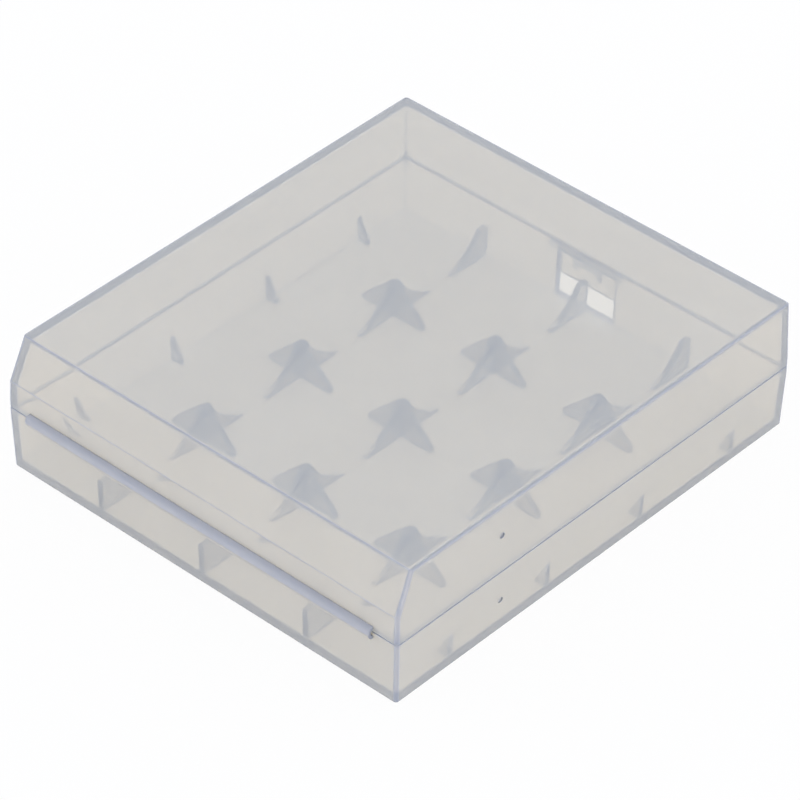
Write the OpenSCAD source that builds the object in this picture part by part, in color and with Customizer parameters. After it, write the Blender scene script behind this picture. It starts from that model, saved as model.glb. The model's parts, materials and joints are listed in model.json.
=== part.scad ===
// Hinged storage case for round cells that lie side by side.
// The cells lie along X. The hinge runs along the -Y side and the latch is in the middle of the +Y side.
// The origin is the middle of the underside of the tray, and +Z is up.

/* [Battery] */
// Diameter of one cell
cell_d = 14.5; // [12:0.1:17]
// Length of one cell
cell_l = 50.5; // [46:0.1:56]
// Number of cells that lie side by side
cell_count = 4; // [3:1:6]
// Gap between two neighbouring cells
cell_gap = 0.4; // [0.2:0.05:1]
// Free length between each end of a cell and the wall
end_play = 1.6; // [1.4:0.05:2.6]
// Free width between an outer cell and the wall
side_play = 0.25; // [0.2:0.05:0.8]
// Free height above a cell
head_play = 0.05; // [0.05:0.05:0.8]

/* [Case] */
// Thickness of the side walls
wall = 0.85; // [0.7:0.05:1.2]
// Thickness of the floor of the tray
floor_t = 0.95; // [0.7:0.05:1.6]
// Thickness of the top of the lid
top_t = 0.9; // [0.7:0.05:1.6]
// Height of the rim of the tray above the table
tray_h = 7.95; // [7:0.05:8.7]
// Gap between the rims of the tray and the lid
rim_gap = 0.1; // [0.05:0.05:0.25]
// Height of the upright band along each rim
rim_land = 0.95; // [0.95:0.05:1.6]
// Angle by which the side walls lean in, away from the bands
draft = 1.85; // [0.5:0.05:2.5]
// Radius of the upright corners
corner_r = 0.4; // [0.3:0.05:0.8]
// Radius of the edges round the underside of the tray and the top of the lid
edge_r = 0.2; // [0.1:0.05:0.3]
// Radius of the upright corners of the hollow
inner_r = 0.25; // [0.15:0.05:0.4]
// Height of the sloping face on the hinge side of the lid
slope_h = 4.9; // [4:0.1:5.6]
// How far the sloping face leans in at the top of the lid
slope_run = 2.25; // [1.6:0.05:3.2]

/* [Cell supports] */
// Columns of divider posts along the length of a cell
post_cols = 3; // [2:1:4]
// Distance between two columns of posts
post_pitch = 14.7; // [11:0.05:15]
// Height of a divider post above the floor
post_h = 4.35; // [3.5:0.05:5.1]
// Thickness of the plates of a post
post_t = 0.7; // [0.55:0.05:1]
// Reach of the cradle plate of a post from its middle, across the cells
cradle_reach = 5.65; // [4:0.05:5.75]
// Reach of the spine plate of a post from its middle, along the cells
spine_reach = 4.5; // [3.2:0.1:5.1]
// Height of the blunt ends of the spine plate
spine_tip_h = 0.55; // [0.25:0.05:0.95]
// Width of the flat top of the spine plate
spine_top_w = 1.1; // [0.8:0.1:1.6]
// Gap between a cell and the cradles under it
cradle_gap = 0.05; // [0.02:0.01:0.15]
// Height of the half cradles on the hinge wall and the latch wall
rib_h = 3.9; // [3.2:0.1:4.4]
// Thickness of the half cradles
rib_t = 0.75; // [0.55:0.05:1]
// Height of an end stop above the floor
stop_h = 3.1; // [2.4:0.1:4]
// Length of the foot of an end stop along the cell
stop_foot = 1.4; // [1:0.1:1.6]
// Thickness of an end stop
stop_t = 0.7; // [0.5:0.05:0.95]
// Radius of the rounded nose of an end stop
stop_nose_r = 0.3; // [0.15:0.05:0.4]

/* [Hinge] */
// Length of the film hinge
hinge_l = 49; // [40:0.5:50]
// Outer radius of the half-round bead that the film makes when it is shut
hinge_r = 0.8; // [0.65:0.05:0.9]
// Thickness of the film
hinge_film = 0.3; // [0.2:0.05:0.4]

/* [Latch] */
// Width of the window in the wall of the tray
window_w = 8.4; // [7:0.1:10.5]
// Thickness of the latch tongue
tongue_t = 0.45; // [0.35:0.05:0.5]
// Length of the latch tongue below the rim of the lid
tongue_l = 4.4; // [3.8:0.1:5]
// Gap between the tongue and each side of the window
tongue_side_gap = 0.2; // [0.1:0.05:0.3]
// Gap between the tongue and the bar
bar_gap = 0.05; // [0.05:0.01:0.08]
// Height of the bar
bar_h = 0.7; // [0.55:0.05:0.9]
// How far the bar stands into the case from the wall
bar_in = 0.3; // [0.2:0.02:0.32]
// Length of the bar on each side of the window
bar_overlap = 0.9; // [0.5:0.1:1.2]
// Width of the catch
catch_w = 4; // [2.5:0.1:5.5]
// How far the catch reaches under the bar
catch_bite = 0.25; // [0.15:0.05:0.3]
// Height of the catch
catch_h = 1; // [0.5:0.05:1.2]
// Gap between the catch and the underside of the bar
catch_gap = 0.1; // [0.05:0.05:0.2]
// Height of the drops at the ends of the catch
catch_drop = 1.75; // [1.3:0.05:2]
// Width of each drop
catch_drop_w = 0.5; // [0.3:0.05:0.7]

/* [Hidden] */
// Steps of a full circle, for true round faces and for the corners of the leaning shells
round_fn = 64;
shell_fn = 32;
// Thickness of the thin slices that carry the corners of a shell
slice_t = 0.01;
// How far a cutting body reaches past what it cuts
past = 1;

cell_r = cell_d / 2;
cell_pitch = cell_d + cell_gap;
hollow_x = cell_l + 2 * end_play;
hollow_y = cell_count * cell_pitch + 2 * side_play;
case_x = hollow_x + 2 * wall;
case_y = hollow_y + 2 * wall;
case_h = floor_t + cell_d + head_play + top_t;
lid_z = tray_h + rim_gap;
hinge_y = -case_y / 2;
hinge_z = tray_h + rim_gap / 2;
latch_y = case_y / 2;
latch_wall_y = hollow_y / 2;
cradle_r = cell_r + cradle_gap;
cradle_z = floor_t + cradle_r;
slope_z = case_h - slope_h;
slope_angle = atan((slope_run - lid_lean(slope_z)) / slope_h);
tongue_w = window_w - 2 * tongue_side_gap;
tongue_y = latch_y - tongue_t;
bar_y = tongue_y - bar_gap;
bar_z = tray_h - bar_h;

POST_ROWS = cell_count - 1;
POSTS = post_cols * POST_ROWS;

// How far the walls of the tray and of the lid have leaned in at a height
function tray_lean(z) = (tray_h - rim_land - z) * tan(draft);
function lid_lean(z) = (z - lid_z - rim_land) * tan(draft);

// How far the sloping face has leaned in at a height
function slope_lean(z) = lid_lean(slope_z) + (z - slope_z) * tan(slope_angle);

// Extra room for a round edge or a wall of size t against a face that leans by an angle
function leaning_extra(t, angle) = t / cos(angle) - t;

// Place of a column of posts along the cells
function column_x(i) = (i - (post_cols - 1) / 2) * post_pitch;

// Place of a cell across the case
function cell_y(i) = (i - (cell_count - 1) / 2) * cell_pitch;

// Place of a row of posts, midway between two cells
function row_y(i) = (cell_y(i) + cell_y(i + 1)) / 2;

// Upright rods of radius r and height h at the corners: half_x from the middle, at each y in ys
module corner_rods(half_x, ys, r, z, h) {
    for (x = [-half_x + r, half_x - r], y = ys)
        translate([x, y - sign(y) * r, z]) cylinder(r = r, h = h, $fn = shell_fn);
}

// Discs of radius r at the corners, as the rods are, with an edge rounded by edge_r
module corner_discs(half_x, ys, r, z) {
    for (x = [-half_x + r, half_x - r], y = ys)
        translate([x, y - sign(y) * r, z])
            rotate_extrude($fn = shell_fn)
                intersection() {
                    translate([r - edge_r, 0]) circle(r = edge_r, $fn = shell_fn);
                    translate([0, -edge_r]) square([r, 2 * edge_r]);
                }
}

// Outside of the tray: leaning walls and a round edge along the underside
module tray_outside() {
    in = tray_lean(edge_r) + leaning_extra(edge_r, draft);
    y = case_y / 2;
    hull() {
        corner_rods(case_x / 2, [-y, y], corner_r, tray_h - rim_land, rim_land);
        corner_discs(case_x / 2 - in, [-y + in, y - in], corner_r, edge_r);
    }
}

// Hollow of the tray: it leans with the walls and runs out past the rim
module tray_hollow() {
    in = tray_lean(floor_t);
    y = hollow_y / 2;
    hull() {
        corner_rods(hollow_x / 2, [-y, y], inner_r, tray_h - rim_land, rim_land + past);
        corner_rods(hollow_x / 2 - in, [-y + in, y - in], inner_r, floor_t, slice_t);
    }
}

// Outside of the lid: leaning walls, and a sloping face along the hinge side
module lid_outside() {
    knee = lid_lean(slope_z);
    disc_z = case_h - edge_r;
    in = lid_lean(disc_z) + leaning_extra(edge_r, draft);
    slope_in = slope_lean(disc_z) + leaning_extra(edge_r, slope_angle);
    y = case_y / 2;
    hull() {
        corner_rods(case_x / 2, [-y, y], corner_r, lid_z, rim_land);
        corner_rods(case_x / 2 - knee, [-y + knee], corner_r, slope_z - slice_t, slice_t);
        corner_discs(case_x / 2 - in, [-y + slope_in, y - in], corner_r, disc_z);
    }
}

// Hollow of the lid: the outside moved in by the thickness of the walls
module lid_hollow() {
    slope_gain = leaning_extra(wall, slope_angle);
    knee_z = slope_z - slope_gain / (tan(slope_angle) - tan(draft));
    knee = lid_lean(knee_z);
    top_z = case_h - top_t;
    in = lid_lean(top_z);
    slope_in = slope_lean(top_z) + slope_gain;
    y = hollow_y / 2;
    hull() {
        corner_rods(hollow_x / 2, [-y, y], inner_r, lid_z - past, rim_land + past);
        corner_rods(hollow_x / 2 - knee, [-y + knee], inner_r, knee_z - slice_t, slice_t);
        corner_rods(hollow_x / 2 - in, [-y + slope_in, y - in], inner_r, top_z - slice_t, slice_t);
    }
}

// Open tray with the latch window through its wall
module base_tray() {
    color([0.82, 0.83, 0.84, 0.5])
    difference() {
        tray_outside();
        tray_hollow();
        translate([-window_w / 2, latch_wall_y - past, floor_t])
            cube([window_w, wall + 2 * past, tray_h]);
    }
}

// Plate across the cells whose top follows the cells on both sides of it
module cradle_plate() {
    difference() {
        translate([-post_t / 2, -cradle_reach, floor_t])
            cube([post_t, 2 * cradle_reach, post_h]);
        for (side = [-1, 1])
            translate([-post_t / 2 - past, side * cell_pitch / 2, cradle_z])
                rotate([0, 90, 0])
                    cylinder(r = cradle_r, h = post_t + 2 * past, $fn = round_fn);
    }
}

// Plate along the cells that falls away to blunt ends
module spine_plate() {
    translate([0, post_t / 2, floor_t])
        rotate([90, 0, 0])
            linear_extrude(height = post_t)
                polygon([
                    [-spine_reach, 0],
                    [spine_reach, 0],
                    [spine_reach, spine_tip_h],
                    [spine_top_w / 2, post_h],
                    [-spine_top_w / 2, post_h],
                    [-spine_reach, spine_tip_h]
                ]);
}

// Four-armed post between two cells
module divider_post(i) {
    color([0.69, 0.71, 0.73, 0.6])
    translate([column_x(i % post_cols), row_y(floor(i / post_cols)), 0])
    union() {
        cradle_plate();
        spine_plate();
    }
}

// Half cradle against the latch wall, with its back on the leaning wall
module wall_rib() {
    outer_cell_y = cell_y(cell_count - 1);
    tip_y = outer_cell_y + cell_pitch / 2 - cradle_reach;
    color([0.69, 0.71, 0.73, 0.6])
    difference() {
        translate([-rib_t / 2, 0, floor_t])
            rotate([90, 0, 90])
                linear_extrude(height = rib_t)
                    polygon([
                        [tip_y, 0],
                        [latch_wall_y - tray_lean(floor_t), 0],
                        [latch_wall_y - tray_lean(floor_t + rib_h), rib_h],
                        [tip_y, rib_h]
                    ]);
        translate([-rib_t / 2 - past, outer_cell_y, cradle_z])
            rotate([0, 90, 0])
                cylinder(r = cradle_r, h = rib_t + 2 * past, $fn = round_fn);
    }
}

module hinge_rib(i) {
    translate([column_x(i), 0, 0]) mirror([0, 1, 0]) wall_rib();
}

module latch_rib(i) {
    translate([column_x(i), 0, 0]) wall_rib();
}

// Gusset against the right wall that meets the end of a cell
module end_stop() {
    foot_x = hollow_x / 2 - tray_lean(floor_t);
    top_x = hollow_x / 2 - tray_lean(floor_t + stop_h);
    nose_x = foot_x - stop_foot;
    color([0.72, 0.73, 0.75, 0.6])
    translate([0, stop_t / 2, floor_t])
        rotate([90, 0, 0])
            linear_extrude(height = stop_t)
                union() {
                    polygon([
                        [nose_x + stop_nose_r, 0],
                        [foot_x, 0],
                        [top_x, stop_h],
                        [nose_x, stop_nose_r]
                    ]);
                    translate([nose_x + stop_nose_r, stop_nose_r])
                        circle(r = stop_nose_r, $fn = round_fn);
                }
}

module end_stop_right(i) {
    translate([0, cell_y(i), 0]) end_stop();
}

module end_stop_left(i) {
    translate([0, cell_y(i), 0]) mirror([1, 0, 0]) end_stop();
}

// Bar across the top of the window: one length in the window, one behind the wall
module latch_bar() {
    color([0.66, 0.69, 0.73, 0.7])
    union() {
        translate([-window_w / 2, latch_wall_y - bar_in, bar_z])
            cube([window_w, bar_y - latch_wall_y + bar_in, bar_h]);
        translate([-window_w / 2 - bar_overlap, latch_wall_y - bar_in, bar_z])
            cube([window_w + 2 * bar_overlap, bar_in, bar_h]);
    }
}

// Lid
module lid_shell() {
    color([0.82, 0.83, 0.84, 0.5])
    difference() {
        lid_outside();
        lid_hollow();
    }
}

// Film hinge, shut: half a tube that stands out along the rims
module living_hinge() {
    color([0.66, 0.69, 0.71, 0.6])
    translate([0, hinge_y, hinge_z])
    rotate([0, 90, 0])
    difference() {
        cylinder(r = hinge_r, h = hinge_l, center = true, $fn = round_fn);
        cylinder(
            r = hinge_r - hinge_film, h = hinge_l + past,
            center = true, $fn = round_fn
        );
        translate([-hinge_r - past, 0, -hinge_l])
            cube([2 * (hinge_r + past), hinge_r + past, 2 * hinge_l]);
    }
}

// Springy tongue that hangs from the rim of the lid into the window
module latch_tongue() {
    color([0.76, 0.77, 0.78, 0.6])
    translate([-tongue_w / 2, tongue_y, lid_z - tongue_l])
        cube([tongue_w, tongue_t, tongue_l]);
}

// Ridge on the inner face of the tongue, with a short drop at each end
module latch_catch() {
    reach = bar_gap + catch_bite;
    color([0.66, 0.69, 0.73, 0.7])
    translate([-catch_w / 2, tongue_y - reach, bar_z - catch_gap])
    union() {
        translate([0, 0, -catch_h]) cube([catch_w, reach, catch_h]);
        for (x = [0, catch_w - catch_drop_w])
            translate([x, 0, -catch_drop]) cube([catch_drop_w, reach, catch_drop]);
    }
}

base_tray();
for (i = [1:POSTS])
    divider_post(i - 1);
for (i = [1:cell_count])
    end_stop_left(i - 1);
for (i = [1:cell_count])
    end_stop_right(i - 1);
for (i = [1:post_cols])
    hinge_rib(i - 1);
for (i = [1:post_cols])
    latch_rib(i - 1);
latch_bar();
lid_shell();
living_hinge();
latch_tongue();
latch_catch();
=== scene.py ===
import json
import math

import bmesh
import bpy
from mathutils import Matrix, Vector

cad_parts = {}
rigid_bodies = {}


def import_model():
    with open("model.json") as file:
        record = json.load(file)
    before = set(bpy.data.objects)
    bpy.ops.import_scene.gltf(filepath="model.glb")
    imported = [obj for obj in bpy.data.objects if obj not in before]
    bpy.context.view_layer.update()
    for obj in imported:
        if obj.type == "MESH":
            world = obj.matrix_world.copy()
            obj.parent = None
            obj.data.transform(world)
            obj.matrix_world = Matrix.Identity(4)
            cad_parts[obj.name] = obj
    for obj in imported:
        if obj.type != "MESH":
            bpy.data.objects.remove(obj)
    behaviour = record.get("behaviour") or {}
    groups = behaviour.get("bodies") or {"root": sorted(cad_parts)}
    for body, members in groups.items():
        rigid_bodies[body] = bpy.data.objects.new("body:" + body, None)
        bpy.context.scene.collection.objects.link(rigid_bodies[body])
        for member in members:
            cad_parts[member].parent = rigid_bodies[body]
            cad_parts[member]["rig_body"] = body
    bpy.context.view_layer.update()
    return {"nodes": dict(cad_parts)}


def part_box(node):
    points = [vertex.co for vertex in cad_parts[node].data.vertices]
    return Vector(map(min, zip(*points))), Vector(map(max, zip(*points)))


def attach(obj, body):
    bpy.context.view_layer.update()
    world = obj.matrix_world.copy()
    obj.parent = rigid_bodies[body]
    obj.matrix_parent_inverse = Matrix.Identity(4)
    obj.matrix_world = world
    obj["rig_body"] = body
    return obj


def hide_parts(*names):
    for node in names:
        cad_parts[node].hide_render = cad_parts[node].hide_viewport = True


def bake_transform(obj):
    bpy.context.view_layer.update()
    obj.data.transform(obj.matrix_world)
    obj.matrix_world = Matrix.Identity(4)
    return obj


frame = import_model()

# All lengths below are in millimetres; metres() turns them into the frame's units.
MM = 0.001


def box_mm(node):
    """The lowest and the highest corner of a CAD node."""
    return [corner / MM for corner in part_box(node)]


# Sizes that the frame gives
_, TRAY_HIGH = box_mm("base_tray")
LID_LOW, LID_HIGH = box_mm("lid_shell")
POST_LOW, POST_HIGH = box_mm("divider_post_1")
NEXT_COLUMN_LOW, _ = box_mm("divider_post_2")
NEXT_ROW_LOW, _ = box_mm("divider_post_4")
STOP_LOW, STOP_HIGH = box_mm("end_stop_right_1")
RIB_LOW, RIB_HIGH = box_mm("latch_rib_1")
BAR_LOW, BAR_HIGH = box_mm("latch_bar")
TONGUE_LOW, TONGUE_HIGH = box_mm("latch_tongue")
CATCH_LOW, CATCH_HIGH = box_mm("latch_catch")
FILM_LOW, FILM_HIGH = box_mm("living_hinge")

HALF_X = TRAY_HIGH.x
HALF_Y = TRAY_HIGH.y
CASE_H = LID_HIGH.z
TRAY_H = TRAY_HIGH.z
LID_Z = LID_LOW.z
PARTING_Z = (TRAY_H + LID_Z) / 2
FLOOR_T = POST_LOW.z
POST_TOP = POST_HIGH.z
COLUMN_PITCH = NEXT_COLUMN_LOW.x - POST_LOW.x
CELL_PITCH = NEXT_ROW_LOW.y - POST_LOW.y
CRADLE_REACH = (POST_HIGH.y - POST_LOW.y) / 2
SPINE_REACH = (POST_HIGH.x - POST_LOW.x) / 2

# Walls and edges of the tray and the lid. Faces narrower than NARROW count as an edge's round, and the
# rounds get a darker haze that is painted shade.
WALL = 0.85
TOP_T = 0.9
DRAFT = math.radians(1.85)
RIM_LAND = 0.95
CORNER_R = 0.4
EDGE_R = 0.2
INNER_R = 0.25
FILLET_R = 0.2
RIM_ROUND = 0.12
RIM_GAP = 0.03
SLOPE_H = 4.9
SLOPE_RUN = 2.25
KNEE_ROUND = 0.08
NARROW = 0.2
CORNER_STEPS = 6
ROUND_STEPS = 5
RIM_STEPS = 2
BEVEL_STEPS = 2
BEVEL_ANGLE = math.radians(30)
SHARP_ANGLE = math.radians(50)
# Points closer than this are one point
MERGE = 0.0005

# Cell supports, each sunk a little into the floor and the walls
CRADLE_R = 7.3
PLATE_T = 0.7
SPINE_TIP_H = 0.55
SPINE_TOP_W = 1.1
STOP_T = 0.7
STOP_NOSE_R = 0.3
RIB_T = 0.75
SUNK = 0.2
ARC_STEPS = 10
PLATE_ROUND = 0.12

# Latch, hinge and gate marks
WINDOW_W = 8.4
CATCH_DROP_W = 0.5
CATCH_H = 1.0
TONGUE_ROUND = 0.08
FILM_T = 0.45
FILM_STEPS = 16
GATE_R = 0.35
GATE_DEPTH = 0.2
GATE_Y = -15.2
GATE_HEIGHTS = {"tray": 4.1, "lid": 12.7}
# How far two faces that would lie in one plane are kept apart
SEAM = 0.005

CRADLE_Z = FLOOR_T + CRADLE_R
SLOPE_Z = CASE_H - SLOPE_H

# Plastic: its refraction, the uneven strength of its haze and the fine relief of its surface
IOR = 1.49
HAZE_ROUGHNESS = 0.5
HAZE_SPREAD = 0.03
HAZE_SCALE, HAZE_DETAIL = 90.0, 4.0
RELIEF_SCALE, RELIEF_DETAIL = 900.0, 3.0
RELIEF_STRENGTH = 0.04
RELIEF_DEPTH = 0.05

# Light: the table's grey, how much of its look is plain white to the camera and through gloss or clear
# plastic, the brightest sky that these rays see, and the sky's colour by its height
TABLE_HALF = 3000
TABLE_GREY = 0.8
WHITE_TO_CAMERA = 0.95
WHITE_TO_GLOSS = 0.72
SHOWN_WHITE = (1.0, 1.0, 1.0)
SKY = (
    (0.00, (1.88, 1.88, 1.90)),
    (0.44, (1.88, 1.88, 1.90)),
    (0.55, (0.60, 0.76, 1.16)),
    (0.69, (0.60, 0.76, 1.16)),
    (0.80, (1.08, 1.03, 0.97)),
)


def tray_lean(z):
    """How far the walls of the tray have leaned in at a height."""
    return (TRAY_H - RIM_LAND - z) * math.tan(DRAFT)


def lid_lean(z):
    """How far the walls of the lid have leaned in at a height."""
    return (z - LID_Z - RIM_LAND) * math.tan(DRAFT)


SLOPE_ANGLE = math.atan((SLOPE_RUN - lid_lean(SLOPE_Z)) / SLOPE_H)
SLOPE_GAIN = WALL / math.cos(SLOPE_ANGLE) - WALL
INNER_KNEE_Z = SLOPE_Z - SLOPE_GAIN / (math.tan(SLOPE_ANGLE) - math.tan(DRAFT))


def slope_lean(z):
    """How far the sloping face of the lid has leaned in at a height."""
    return lid_lean(SLOPE_Z) + (z - SLOPE_Z) * math.tan(SLOPE_ANGLE)


# ---------------------------------------------------------------- mesh helpers


def metres(point):
    return Vector(point) * MM


def new_piece(name, mesh):
    piece = bpy.data.objects.new(name, mesh)
    bpy.context.scene.collection.objects.link(piece)
    return piece


def piece_from(name, bm):
    """A piece with the mesh, whose faces are turned outward."""
    bmesh.ops.recalc_face_normals(bm, faces=bm.faces)
    mesh = bpy.data.meshes.new(name)
    bm.to_mesh(mesh)
    bm.free()
    return new_piece(name, mesh)


def mark_rounds(faces):
    """Puts the narrow faces, which round the edges, in the second slot, which holds the darker edge
    material: painted shade.
    """
    for face in faces:
        if 2 * face.calc_area() < NARROW * MM * face.calc_perimeter():
            face.material_index = 1


def skin(name, loops_of_points, round_bands=()):
    """A closed mesh through the loops, with a flat face over the first and the last.

    In the bands between loops that round_bands numbers, the rounds are put in the second slot.
    """
    bm = bmesh.new()
    loops = [[bm.verts.new(metres(point)) for point in points] for points in loops_of_points]
    count = len(loops[0])
    for at, (one, two) in enumerate(zip(loops, loops[1:])):
        band = []
        for i in range(count):
            j = (i + 1) % count
            band.append(bm.faces.new((one[i], one[j], two[j], two[i])))
        if at in round_bands:
            mark_rounds(band)
    bm.faces.new(loops[0])
    bm.faces.new(loops[-1])
    bmesh.ops.remove_doubles(bm, verts=bm.verts, dist=MERGE * MM)
    return piece_from(name, bm)


def ring(inset, z, corner, hinge_inset=None, hinge_z=None):
    """A rounded rectangle round the case. The hinge side may have an inset and a height of its own."""
    hinge_inset = inset if hinge_inset is None else hinge_inset
    hinge_z = z if hinge_z is None else hinge_z
    half_x = HALF_X - inset
    ends = {1: HALF_Y - inset, -1: hinge_inset - HALF_Y}
    heights = {1: z, -1: hinge_z}
    points = []
    for side_x, side_y, start in ((1, 1, 0), (-1, 1, 90), (-1, -1, 180), (1, -1, 270)):
        centre_x = side_x * (half_x - corner)
        centre_y = ends[side_y] - side_y * corner
        for step in range(CORNER_STEPS + 1):
            turn = math.radians(start + 90 * step / CORNER_STEPS)
            across, along = math.cos(turn), math.sin(turn)
            height = z * across ** 2 + heights[side_y] * along ** 2
            points.append((centre_x + corner * across, centre_y + corner * along, height))
    return points


def prism(outline, thickness, place):
    """A plate with that outline. place turns (u, v, w) into (x, y, z), and w is 0 in its middle."""
    half = thickness / 2
    return skin("plate", [[place(u, v, w) for u, v in outline] for w in (-half, half)])


def block(low, high):
    """A block between two corners."""
    outline = [(low[0], low[1]), (high[0], low[1]), (high[0], high[1]), (low[0], high[1])]
    middle = (low[2] + high[2]) / 2
    return prism(outline, high[2] - low[2], lambda u, v, w: (u, v, middle + w))


def applied(piece):
    """The piece with its modifiers applied."""
    graph = bpy.context.evaluated_depsgraph_get()
    mesh = bpy.data.meshes.new_from_object(piece.evaluated_get(graph))
    piece.modifiers.clear()
    piece.data = mesh
    return piece


def combined(piece, other, operation):
    """piece joined with or cut by the other, which is then gone."""
    change = piece.modifiers.new("combined", "BOOLEAN")
    change.operation = operation
    change.solver = "EXACT"
    change.material_mode = "TRANSFER"
    change.object = other
    applied(piece)
    bpy.data.objects.remove(other)
    return piece


def softened(piece, width):
    """The piece with its edges rounded."""
    change = piece.modifiers.new("softened", "BEVEL")
    change.width = width * MM
    change.segments = BEVEL_STEPS
    change.limit_method = "ANGLE"
    change.angle_limit = BEVEL_ANGLE
    return applied(piece)


def rounded(piece, width, material):
    """The piece in that material, with rounded edges in the darker edge material, which paints shade on
    them.
    """
    softened(piece, width)
    bm = bmesh.new()
    bm.from_mesh(piece.data)
    mark_rounds(bm.faces)
    bm.to_mesh(piece.data)
    bm.free()
    return coated(piece, material, PAINTED_EDGE_SHADE)


def gathered(name, pieces):
    """One mesh that holds all the pieces, which don't touch."""
    bm = bmesh.new()
    for piece in pieces:
        bm.from_mesh(piece.data)
        bpy.data.objects.remove(piece)
    mesh = bpy.data.meshes.new(name)
    bm.to_mesh(mesh)
    bm.free()
    return new_piece(name, mesh)


def copied(piece, matrix):
    """A copy of the piece, moved by the matrix in millimetres, with its faces still outward."""
    mesh = piece.data.copy()
    mesh.transform(Matrix.Scale(MM, 4) @ matrix @ Matrix.Scale(1 / MM, 4))
    if matrix.determinant() < 0:
        mesh.flip_normals()
    return new_piece(piece.name, mesh)


def coated(piece, *materials):
    """The piece with those materials in its slots, and each face still in its own slot."""
    slots = [face.material_index for face in piece.data.polygons]
    piece.data.materials.clear()
    for material in materials:
        piece.data.materials.append(material)
    for face, slot in zip(piece.data.polygons, slots):
        face.material_index = slot
    return piece


def finished(piece, name):
    """Sets the piece's name and its smooth shading, with flat faces left flat."""
    piece.name = name
    piece.data.name = name
    for face in piece.data.polygons:
        face.use_smooth = True
    piece.data.set_sharp_from_angle(angle=SHARP_ANGLE)
    normals = piece.modifiers.new("flat_faces", "WEIGHTED_NORMAL")
    normals.weight = 100
    normals.keep_sharp = True
    return piece


# ---------------------------------------------------------------- materials


def noise(nodes, links, scale, detail):
    """Noise in the object's own space, as a factor."""
    place = nodes.new("ShaderNodeTexCoord")
    texture = nodes.new("ShaderNodeTexNoise")
    texture.inputs["Scale"].default_value = scale
    texture.inputs["Detail"].default_value = detail
    links.new(place.outputs["Object"], texture.inputs["Vector"])
    return texture.outputs["Fac"]


def plastic(name, clear, veil, veil_share, roughness):
    """Moulded polypropylene: light goes through with a warm tint, and its haze scatters a cool grey."""
    material = bpy.data.materials.new(name)
    material.use_nodes = True
    nodes, links = material.node_tree.nodes, material.node_tree.links
    glass = nodes["Principled BSDF"]
    glass.inputs["Base Color"].default_value = (*clear, 1)
    glass.inputs["IOR"].default_value = IOR
    glass.inputs["Transmission Weight"].default_value = 1.0
    glass.inputs["Roughness"].default_value = roughness

    haze = nodes.new("ShaderNodeBsdfPrincipled")
    haze.inputs["Roughness"].default_value = HAZE_ROUGHNESS
    haze.inputs["IOR"].default_value = IOR
    shade = nodes.new("ShaderNodeMix")
    shade.data_type = "RGBA"
    shade.inputs["A"].default_value = (*[(1 - HAZE_SPREAD) * part for part in veil], 1)
    shade.inputs["B"].default_value = (*[(1 + HAZE_SPREAD) * part for part in veil], 1)
    links.new(noise(nodes, links, HAZE_SCALE, HAZE_DETAIL), shade.inputs["Factor"])
    links.new(shade.outputs["Result"], haze.inputs["Base Color"])

    both = nodes.new("ShaderNodeMixShader")
    both.inputs["Fac"].default_value = veil_share
    links.new(glass.outputs["BSDF"], both.inputs[1])
    links.new(haze.outputs["BSDF"], both.inputs[2])
    links.new(both.outputs["Shader"], nodes["Material Output"].inputs["Surface"])

    relief = nodes.new("ShaderNodeBump")
    relief.inputs["Strength"].default_value = RELIEF_STRENGTH
    relief.inputs["Distance"].default_value = RELIEF_DEPTH * MM
    links.new(noise(nodes, links, RELIEF_SCALE, RELIEF_DETAIL), relief.inputs["Height"])
    links.new(relief.outputs["Normal"], glass.inputs["Normal"])
    links.new(relief.outputs["Normal"], haze.inputs["Normal"])
    return material


CLEAR_TINT = (1.0, 0.905, 0.71)
VEIL_TINT = (0.82, 0.85, 0.90)
# Painted shade: a darker, bluer haze for the supports and the latch bar, which also have a slightly rougher
# finish.
MATT_PAINTED_SHADE_TINT = (0.60, 0.66, 0.76)
# Painted shade: the darkest, bluest haze, for the rounds of edges, the cut faces, the pits and the catch.
PAINTED_EDGE_SHADE_TINT = (0.44, 0.475, 0.57)
POLISHED = plastic("polished_polypropylene", CLEAR_TINT, VEIL_TINT, veil_share=0.32, roughness=0.01)
MATT_AND_PAINTED_SHADE = plastic("matt_polypropylene_painted_shade", CLEAR_TINT, MATT_PAINTED_SHADE_TINT, veil_share=0.45, roughness=0.04)
PAINTED_EDGE_SHADE = plastic("edge_polypropylene_painted_shade", CLEAR_TINT, PAINTED_EDGE_SHADE_TINT, veil_share=0.6, roughness=0.1)


# ---------------------------------------------------------------- tray


def tray_outside():
    """From the underside up and over the rim."""
    rings = []
    centre = tray_lean(EDGE_R) + EDGE_R / math.cos(DRAFT)
    for step in range(ROUND_STEPS + 1):
        turn = (math.pi / 2 - DRAFT) * step / ROUND_STEPS - math.pi / 2
        out = EDGE_R * math.cos(turn)
        rings.append(ring(centre - out, EDGE_R + EDGE_R * math.sin(turn), CORNER_R - EDGE_R + out))
    rings.append(ring(0, TRAY_H - RIM_LAND, CORNER_R))
    return rings + rim_rings(PARTING_Z - RIM_GAP / 2, -1)


def tray_inside():
    """From the rim down to the floor."""
    rings = [ring(WALL, TRAY_H - RIM_LAND, INNER_R)]
    centre_z = FLOOR_T + FILLET_R
    centre = WALL + tray_lean(centre_z) + FILLET_R / math.cos(DRAFT)
    for step in range(ROUND_STEPS + 1):
        turn = DRAFT + (math.pi / 2 - DRAFT) * step / ROUND_STEPS
        out = FILLET_R * math.cos(turn)
        rings.append(ring(centre - out, centre_z - FILLET_R * math.sin(turn), INNER_R - FILLET_R + out))
    return rings


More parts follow.
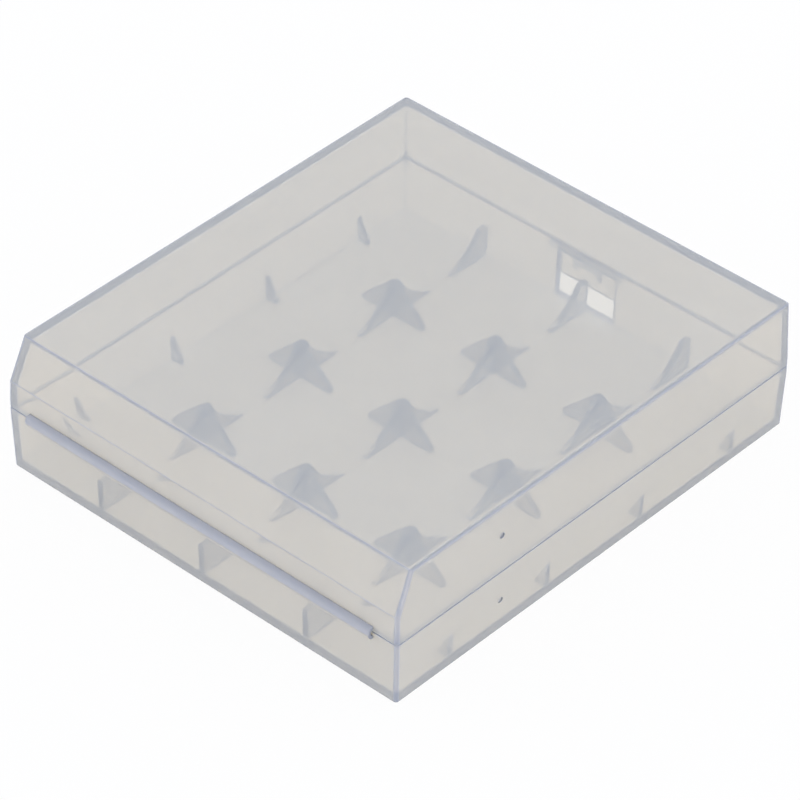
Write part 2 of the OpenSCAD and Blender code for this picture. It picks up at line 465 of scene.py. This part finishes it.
def rim_rings(rim_z, into):
    """Over a rim with slightly rounded edges. into is the way from the rim into the wall."""
    rings = []
    base = rim_z + into * RIM_ROUND
    turns = [math.pi / 2 * step / RIM_STEPS for step in range(RIM_STEPS + 1)]
    for turn in turns:
        inset = RIM_ROUND * (1 - math.cos(turn))
        rings.append(ring(inset, base - into * RIM_ROUND * math.sin(turn), CORNER_R))
    for turn in reversed(turns):
        inset = WALL - RIM_ROUND * (1 - math.cos(turn))
        rings.append(ring(inset, base - into * RIM_ROUND * math.sin(turn), INNER_R))
    return rings


def cradle_arc(cell_y, from_y, to_z):
    """Points round the underside of a cell, from a place across the case up to a height."""
    side = 1 if from_y > cell_y else -1
    start = math.asin(abs(from_y - cell_y) / CRADLE_R)
    end = math.acos((CRADLE_Z - to_z) / CRADLE_R)
    points = []
    for step in range(ARC_STEPS + 1):
        turn = start + (end - start) * step / ARC_STEPS
        points.append((cell_y + side * CRADLE_R * math.sin(turn), CRADLE_Z - CRADLE_R * math.cos(turn)))
    return points


def divider_post():
    """Cross-shaped post at the middle of the floor."""
    foot = FLOOR_T - SUNK
    right_arc = cradle_arc(CELL_PITCH / 2, CRADLE_REACH, POST_TOP)
    left_arc = [(-y, z) for y, z in reversed(right_arc)]
    outline = [(-CRADLE_REACH, foot), (CRADLE_REACH, foot)] + right_arc + left_arc
    cradle = prism(outline, PLATE_T, lambda u, v, w: (w, u, v))
    tip = FLOOR_T + SPINE_TIP_H
    top = POST_TOP - SEAM
    outline = [
        (-SPINE_REACH, foot),
        (SPINE_REACH, foot),
        (SPINE_REACH, tip),
        (SPINE_TOP_W / 2, top),
        (-SPINE_TOP_W / 2, top),
        (-SPINE_REACH, tip),
    ]
    spine = prism(outline, PLATE_T, lambda u, v, w: (u, w, v))
    # Painted shade: the post takes the darker, bluer haze, and its rounded edges the darker edge material.
    return rounded(combined(cradle, spine, "UNION"), PLATE_ROUND, MATT_AND_PAINTED_SHADE)


def wall_rib():
    """Half cradle on the latch wall."""
    foot = FLOOR_T - SUNK
    top = RIB_HIGH.z
    back = HALF_Y - WALL + SUNK
    arc = cradle_arc(CELL_PITCH * 1.5, RIB_LOW.y, top)
    outline = [(RIB_LOW.y, foot), (back - tray_lean(foot), foot), (back - tray_lean(top), top)] + arc[::-1]
    # Painted shade: the rib takes the darker, bluer haze, and its rounded edges the darker edge material.
    return rounded(prism(outline, RIB_T, lambda u, v, w: (w, u, v)), PLATE_ROUND, MATT_AND_PAINTED_SHADE)


def end_stop():
    """Gusset on the right wall with a rounded nose."""
    foot = FLOOR_T - SUNK
    top = STOP_HIGH.z
    wall_x = HALF_X - WALL
    outline = [
        (STOP_LOW.x, foot),
        (wall_x + SUNK - tray_lean(foot), foot),
        (wall_x + SUNK - tray_lean(top), top),
        (wall_x - tray_lean(top), top),
        (STOP_LOW.x + STOP_NOSE_R / 3, FLOOR_T + STOP_NOSE_R),
        (STOP_LOW.x, FLOOR_T + STOP_NOSE_R / 2),
    ]
    # Painted shade: the stop takes the darker, bluer haze, and its rounded edges the darker edge material.
    return rounded(prism(outline, STOP_T, lambda u, v, w: (u, w, v)), PLATE_ROUND, MATT_AND_PAINTED_SHADE)


def latch_bar():
    """Bar across the top of the window: one length in the window, one behind the wall."""
    wall_y = HALF_Y - WALL
    half_w = WINDOW_W / 2 + SUNK
    middle = block((-half_w, BAR_LOW.y, BAR_LOW.z), (half_w, BAR_HIGH.y, BAR_HIGH.z))
    behind = block((BAR_LOW.x, BAR_LOW.y, BAR_LOW.z - SEAM), (BAR_HIGH.x, wall_y + SUNK, BAR_HIGH.z - SEAM))
    # Painted shade: the bar takes the darker, bluer haze, and its rounded edges the darker edge material.
    return rounded(combined(middle, behind, "UNION"), PLATE_ROUND, MATT_AND_PAINTED_SHADE)


def gate_pit(body, lean):
    """Cutter for the small round pit that the mould's gate leaves on the right wall."""
    z = GATE_HEIGHTS[body]
    x = HALF_X - lean(z)
    steps = 4 * ROUND_STEPS
    turns = [2 * math.pi * step / steps for step in range(steps)]
    outline = [(GATE_Y + GATE_R * math.cos(turn), z + GATE_R * math.sin(turn)) for turn in turns]
    return prism(outline, 2 * GATE_DEPTH, lambda u, v, w: (x + w, u, v))


def tray_moulding():
    outside = tray_outside()
    tray = skin("tray", outside + tray_inside(), range(ROUND_STEPS, len(outside)))
    # Painted shade: the narrow faces that round the walls' corners and the rim take the darker edge
    # material.
    coated(tray, POLISHED, PAINTED_EDGE_SHADE)
    wall_y = HALF_Y - WALL
    window = block((-WINDOW_W / 2, wall_y - WALL, FLOOR_T), (WINDOW_W / 2, wall_y + 2 * WALL, CASE_H))
    # Painted shade: the faces that the window and the gate pit cut take the darker edge material.
    combined(tray, coated(window, PAINTED_EDGE_SHADE), "DIFFERENCE")
    combined(tray, coated(gate_pit("tray", tray_lean), PAINTED_EDGE_SHADE), "DIFFERENCE")

    supports = []
    post = divider_post()
    rib = wall_rib()
    stop = end_stop()
    for column in (-1, 0, 1):
        place = Matrix.Translation((column * COLUMN_PITCH, 0, 0))
        supports.append(copied(rib, place))
        supports.append(copied(rib, place @ Matrix.Scale(-1, 4, (0, 1, 0))))
        for row in (-1, 0, 1):
            supports.append(copied(post, place @ Matrix.Translation((0, row * CELL_PITCH, 0))))
    for cell in (-1.5, -0.5, 0.5, 1.5):
        place = Matrix.Translation((0, cell * CELL_PITCH, 0))
        supports.append(copied(stop, place))
        supports.append(copied(stop, place @ Matrix.Scale(-1, 4, (1, 0, 0))))
    for pattern in (post, rib, stop):
        bpy.data.objects.remove(pattern)
    # Painted shade: the supports take the darker, bluer haze, and their rounded edges the darker edge
    # material.
    combined(tray, coated(gathered("supports", supports), MATT_AND_PAINTED_SHADE, PAINTED_EDGE_SHADE), "UNION")
    combined(tray, latch_bar(), "UNION")

    finished(tray, "tray_moulding")
    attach(tray, "tray")
    nodes = [name for name, node in frame["nodes"].items() if node["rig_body"] == "tray"]
    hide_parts(*[name for name in nodes if name != "living_hinge"])


# ---------------------------------------------------------------- lid


def lid_outside():
    """From the top down and over the rim."""
    rings = []
    centre_z = CASE_H - EDGE_R
    centre = lid_lean(centre_z) + EDGE_R / math.cos(DRAFT)
    hinge_centre = slope_lean(centre_z) + EDGE_R / math.cos(SLOPE_ANGLE)
    for step in reversed(range(ROUND_STEPS + 1)):
        turn = DRAFT + (math.pi / 2 - DRAFT) * step / ROUND_STEPS
        hinge_turn = SLOPE_ANGLE + (math.pi / 2 - SLOPE_ANGLE) * step / ROUND_STEPS
        out = EDGE_R * math.cos(turn)
        hinge_out = EDGE_R * math.cos(hinge_turn)
        rings.append(
            ring(
                centre - out,
                centre_z + EDGE_R * math.sin(turn),
                CORNER_R - EDGE_R + out,
                hinge_centre - hinge_out,
                centre_z + EDGE_R * math.sin(hinge_turn),
            )
        )
    above, below = SLOPE_Z + KNEE_ROUND, SLOPE_Z - KNEE_ROUND
    rings.append(ring(lid_lean(below), below, CORNER_R, slope_lean(above), above))
    rings.append(ring(lid_lean(below), below, CORNER_R))
    rings.append(ring(0, LID_Z + RIM_LAND, CORNER_R))
    return rings + rim_rings(PARTING_Z + RIM_GAP / 2, 1)


def lid_inside():
    """From the rim up to the ceiling."""
    rings = [
        ring(WALL, LID_Z + RIM_LAND, INNER_R),
        ring(WALL + lid_lean(INNER_KNEE_Z), INNER_KNEE_Z, INNER_R),
    ]
    centre_z = CASE_H - TOP_T - FILLET_R
    centre = WALL + lid_lean(centre_z) + FILLET_R / math.cos(DRAFT)
    hinge_centre = WALL + slope_lean(centre_z) + SLOPE_GAIN + FILLET_R / math.cos(SLOPE_ANGLE)
    for step in range(ROUND_STEPS + 1):
        turn = DRAFT + (math.pi / 2 - DRAFT) * step / ROUND_STEPS
        hinge_turn = SLOPE_ANGLE + (math.pi / 2 - SLOPE_ANGLE) * step / ROUND_STEPS
        out = FILLET_R * math.cos(turn)
        hinge_out = FILLET_R * math.cos(hinge_turn)
        rings.append(
            ring(
                centre - out,
                centre_z + FILLET_R * math.sin(turn),
                INNER_R - FILLET_R + out,
                hinge_centre - hinge_out,
                centre_z + FILLET_R * math.sin(hinge_turn),
            )
        )
    return rings


def lid_moulding():
    outside = lid_outside()
    lid = skin("lid", outside + lid_inside(), range(len(outside)))
    # Painted shade: the narrow faces that round the lid's edges, knee and rim take the darker edge
    # material, and so do the faces of the gate pit.
    coated(lid, POLISHED, PAINTED_EDGE_SHADE)
    combined(lid, coated(gate_pit("lid", lid_lean), PAINTED_EDGE_SHADE), "DIFFERENCE")
    finished(lid, "lid_moulding")
    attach(lid, "lid")
    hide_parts("lid_shell")


# ---------------------------------------------------------------- hinge and latch


def film_hinge():
    """Half-round bead that stands out along the rims."""
    outer = FILM_HIGH.z - PARTING_Z
    root_y = SEAM - HALF_Y
    turns = [math.pi * step / FILM_STEPS for step in range(FILM_STEPS + 1)]
    outline = []
    for radius, way in ((outer, turns), (outer - FILM_T, turns[::-1])):
        outline += [(root_y - radius * math.sin(turn), PARTING_Z - radius * math.cos(turn)) for turn in way]
    film = softened(prism(outline, FILM_HIGH.x - FILM_LOW.x, lambda u, v, w: (w, u, v)), FILM_T / 4)
    coated(film, POLISHED, PAINTED_EDGE_SHADE)
    # Painted shade: the bead's upper half and its ends take the darker edge material, and the lower half
    # stays clear.
    for face in film.data.polygons:
        face.material_index = int(face.normal.z > 0 or abs(face.normal.x) > abs(face.normal.y))
    finished(film, "film_hinge")
    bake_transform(film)
    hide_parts("living_hinge")


def latch():
    """Springy tongue with the catch on its inner face."""
    low, high = TONGUE_LOW, TONGUE_HIGH
    # Painted shade: the tongue's rounded edges take the darker edge material.
    tongue = rounded(block(low, (high.x, high.y, high.z - SEAM)), TONGUE_ROUND, POLISHED)
    sunk_y = high.y - TONGUE_ROUND - SUNK
    ridge = block((CATCH_LOW.x, CATCH_LOW.y, CATCH_HIGH.z - CATCH_H), (CATCH_HIGH.x, sunk_y, CATCH_HIGH.z))
    for x in (CATCH_LOW.x, CATCH_HIGH.x - CATCH_DROP_W):
        drop = block(
            (x + SEAM, CATCH_LOW.y + SEAM, CATCH_LOW.z),
            (x + CATCH_DROP_W - SEAM, sunk_y - SEAM, CATCH_HIGH.z - CATCH_H / 2),
        )
        combined(ridge, drop, "UNION")
    # Painted shade: the whole catch takes the darker edge material.
    combined(tongue, rounded(ridge, TONGUE_ROUND, PAINTED_EDGE_SHADE), "UNION")
    finished(tongue, "latch_moulding")
    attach(tongue, "latch")
    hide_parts("latch_tongue", "latch_catch")


# ---------------------------------------------------------------- stage


def share_by_ray(nodes, links, to_camera, to_gloss):
    """One share for rays from the camera, one for rays that gloss or clear plastic turns, 0 for others."""
    path = nodes.new("ShaderNodeLightPath")
    turned = nodes.new("ShaderNodeMath")
    turned.operation = "MAXIMUM"
    links.new(path.outputs["Is Glossy Ray"], turned.inputs[0])
    links.new(path.outputs["Is Transmission Ray"], turned.inputs[1])
    gloss_share = nodes.new("ShaderNodeMath")
    gloss_share.operation = "MULTIPLY"
    gloss_share.inputs[1].default_value = to_gloss
    links.new(turned.outputs["Value"], gloss_share.inputs[0])
    share = nodes.new("ShaderNodeMath")
    share.operation = "MULTIPLY_ADD"
    share.inputs[1].default_value = to_camera
    links.new(path.outputs["Is Camera Ray"], share.inputs[0])
    links.new(gloss_share.outputs["Value"], share.inputs[2])
    return share.outputs["Value"]


def table_top():
    """White table with a faint shadow: the camera, gloss and clear plastic see it mostly as plain white."""
    sides = ((-1, -1), (1, -1), (1, 1), (-1, 1))
    corners = [metres((x * TABLE_HALF, y * TABLE_HALF, -SEAM)) for x, y in sides]
    mesh = bpy.data.meshes.new("table_top")
    mesh.from_pydata(corners, [], [(0, 1, 2, 3)])
    material = bpy.data.materials.new("white_table")
    material.use_nodes = True
    nodes, links = material.node_tree.nodes, material.node_tree.links
    lit = nodes["Principled BSDF"]
    lit.inputs["Base Color"].default_value = (TABLE_GREY, TABLE_GREY, TABLE_GREY, 1)
    lit.inputs["Roughness"].default_value = 1.0
    lit.inputs["Specular IOR Level"].default_value = 0.0
    white = nodes.new("ShaderNodeEmission")
    white.inputs["Strength"].default_value = 1.0
    both = nodes.new("ShaderNodeMixShader")
    links.new(share_by_ray(nodes, links, WHITE_TO_CAMERA, WHITE_TO_GLOSS), both.inputs["Fac"])
    links.new(lit.outputs["BSDF"], both.inputs[1])
    links.new(white.outputs["Emission"], both.inputs[2])
    links.new(both.outputs["Shader"], nodes["Material Output"].inputs["Surface"])
    coated(new_piece("table_top", mesh), material)


def studio():
    """A sky that is bright low down and overhead, with a dimmer bluish band between.

    What the camera, gloss and clear plastic show of it is no brighter than white.
    """
    world = bpy.data.worlds.new("studio")
    bpy.context.scene.world = world
    world.use_nodes = True
    nodes, links = world.node_tree.nodes, world.node_tree.links
    place = nodes.new("ShaderNodeTexCoord")
    axes = nodes.new("ShaderNodeSeparateXYZ")
    links.new(place.outputs["Generated"], axes.inputs["Vector"])
    ramp = nodes.new("ShaderNodeValToRGB")
    ramp.color_ramp.interpolation = "EASE"
    stops = ramp.color_ramp.elements
    while len(stops) < len(SKY):
        stops.new(1.0)
    for stop, (height, colour) in zip(stops, SKY):
        stop.position = height
        stop.color = (*colour, 1)
    links.new(axes.outputs["Z"], ramp.inputs["Fac"])

    shown = nodes.new("ShaderNodeMix")
    shown.data_type = "RGBA"
    shown.blend_type = "DARKEN"
    shown.inputs["B"].default_value = (*SHOWN_WHITE, 1)
    links.new(share_by_ray(nodes, links, 1.0, 1.0), shown.inputs["Factor"])
    links.new(ramp.outputs["Color"], shown.inputs["A"])
    links.new(shown.outputs["Result"], nodes["Background"].inputs["Color"])


def camera():
    """The photograph's camera, worked out from the corners of the case."""
    azimuth, elevation, roll = (math.radians(angle) for angle in (41.9112, 38.8883, 0.8808))
    place = metres((263.648, -293.916, 324.469))
    focal_px, picture_px, sensor_mm = 4776.74, 800, 36.0
    back = Vector((
        math.sin(azimuth) * math.cos(elevation),
        -math.cos(azimuth) * math.cos(elevation),
        math.sin(elevation),
    ))
    right = Vector((0, 0, 1)).cross(back).normalized()
    up = back.cross(right)
    turned_right = math.cos(roll) * right + math.sin(roll) * up
    turned_up = -math.sin(roll) * right + math.cos(roll) * up
    data = bpy.data.cameras.new("camera")
    data.sensor_width = sensor_mm
    data.lens = focal_px / picture_px * sensor_mm
    data.clip_start = 0.01
    data.clip_end = 10
    view = new_piece("camera", data)
    turn = Matrix((turned_right, turned_up, back)).transposed()
    view.matrix_world = Matrix.Translation(place) @ turn.to_4x4()
    bpy.context.scene.camera = view


tray_moulding()
lid_moulding()
film_hinge()
latch()
table_top()
studio()
camera()
bpy.context.scene.view_settings.view_transform = "Standard"
